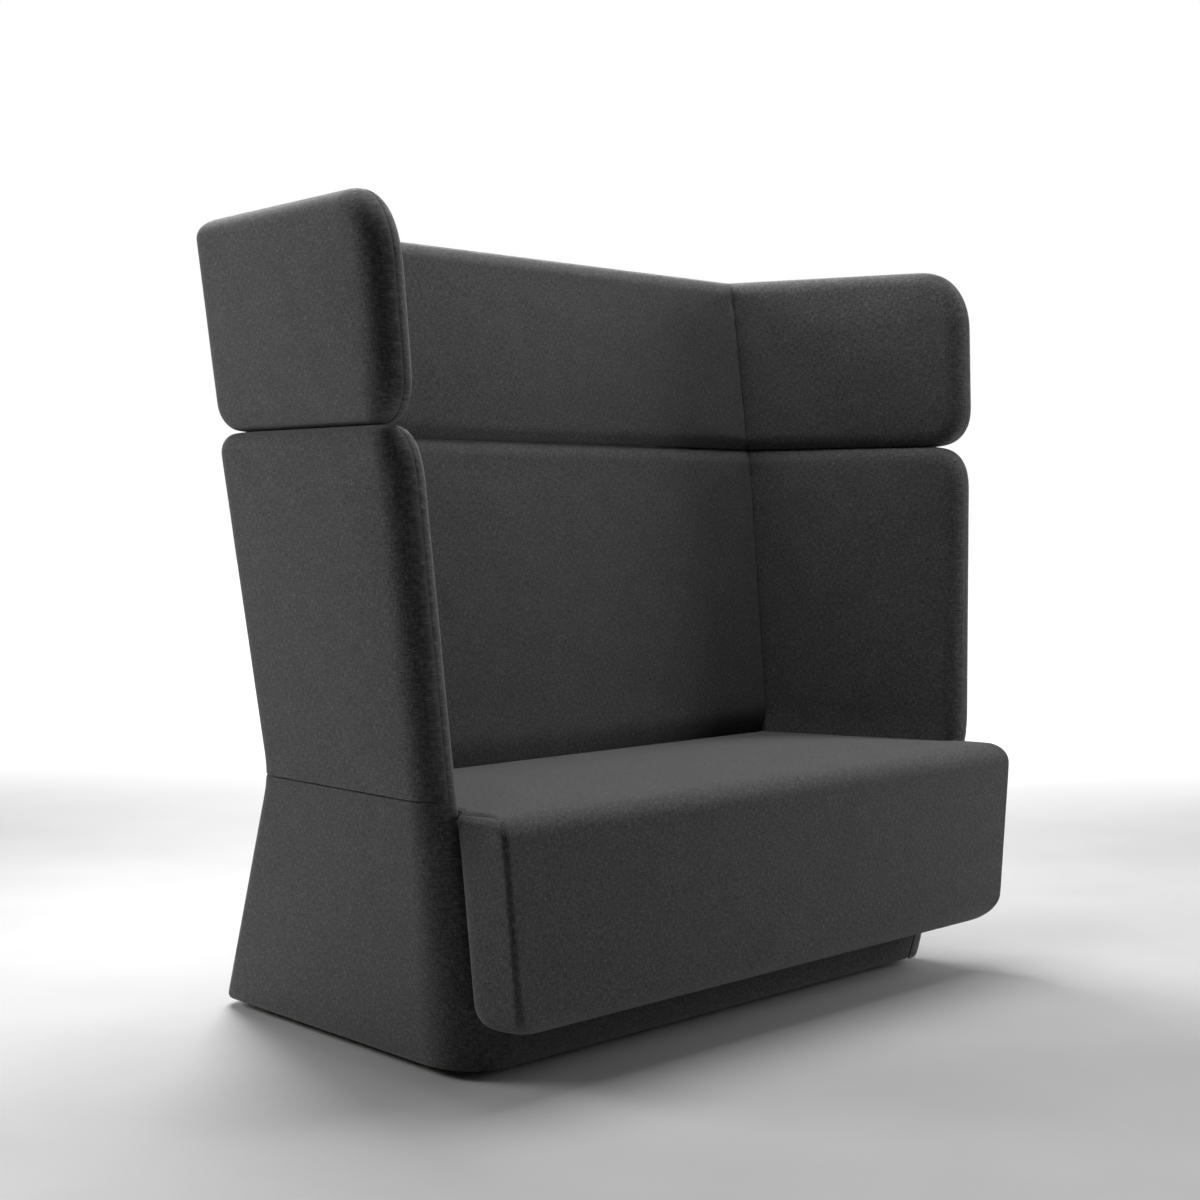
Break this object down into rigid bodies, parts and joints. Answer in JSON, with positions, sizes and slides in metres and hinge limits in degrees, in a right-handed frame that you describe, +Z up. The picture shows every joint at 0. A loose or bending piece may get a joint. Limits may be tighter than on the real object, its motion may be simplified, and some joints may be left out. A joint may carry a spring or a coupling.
{
  "type": "high-back sofa",
  "caption": "High-back upholstered sofa: splayed padded walls on a tapered base, a separate headrest band round three sides, and a seat with a deep rounded front apron.",
  "frame": {"origin": "on the floor, under the middle of the sofa's overall box", "axes": "+X to the right as seen from the front, +Y to the back, +Z up; a sitter faces -Y"},
  "size_m": [1.6722, 0.89, 1.373],
  "materials": {
    "plywood": "raw sanded birch plywood",
    "solid_wood": "raw planed softwood",
    "steel_plate": "black powder coat",
    "zinc_screw": "zinc plated",
    "wool_fabric": "charcoal melange woven wool cloth over foam",
    "glide_plastic": "matte moulded",
    "underside_cloth": "black non-woven cloth"
  },
  "bodies": {
    "root": {"base_board": "plywood", "base_side_left": "plywood", "base_side_right": "plywood", "base_back_panel": "plywood", "base_front_panel": "plywood", "seat_bearers": "plywood", "seat_deck": "plywood", "apron_board": "plywood", "apron_ribs": "plywood", "shell_core_left": "plywood", "shell_core_right": "plywood", "shell_core_back": "plywood", "head_core_left": "plywood", "head_core_right": "plywood", "head_core_back": "plywood", "corner_blocks": "solid_wood", "shell_corner_brackets": "steel_plate", "waist_brackets": "steel_plate", "head_corner_brackets": "steel_plate", "head_bars": "steel_plate", "glide_screws": "zinc_screw", "seat_screws": "zinc_screw", "head_bolts": "zinc_screw", "seat_cushion": "wool_fabric", "base_cover_left": "wool_fabric", "base_cover_right": "wool_fabric", "base_cover_back": "wool_fabric", "base_lining_back": "wool_fabric", "base_cover_front": "wool_fabric", "shell_pad_left": "wool_fabric", "shell_pad_right": "wool_fabric", "shell_pad_back": "wool_fabric", "head_pad_left": "wool_fabric", "head_pad_right": "wool_fabric", "head_pad_back": "wool_fabric", "glides": "glide_plastic", "dust_cover": "underside_cloth"}
  },
  "joints": []
}
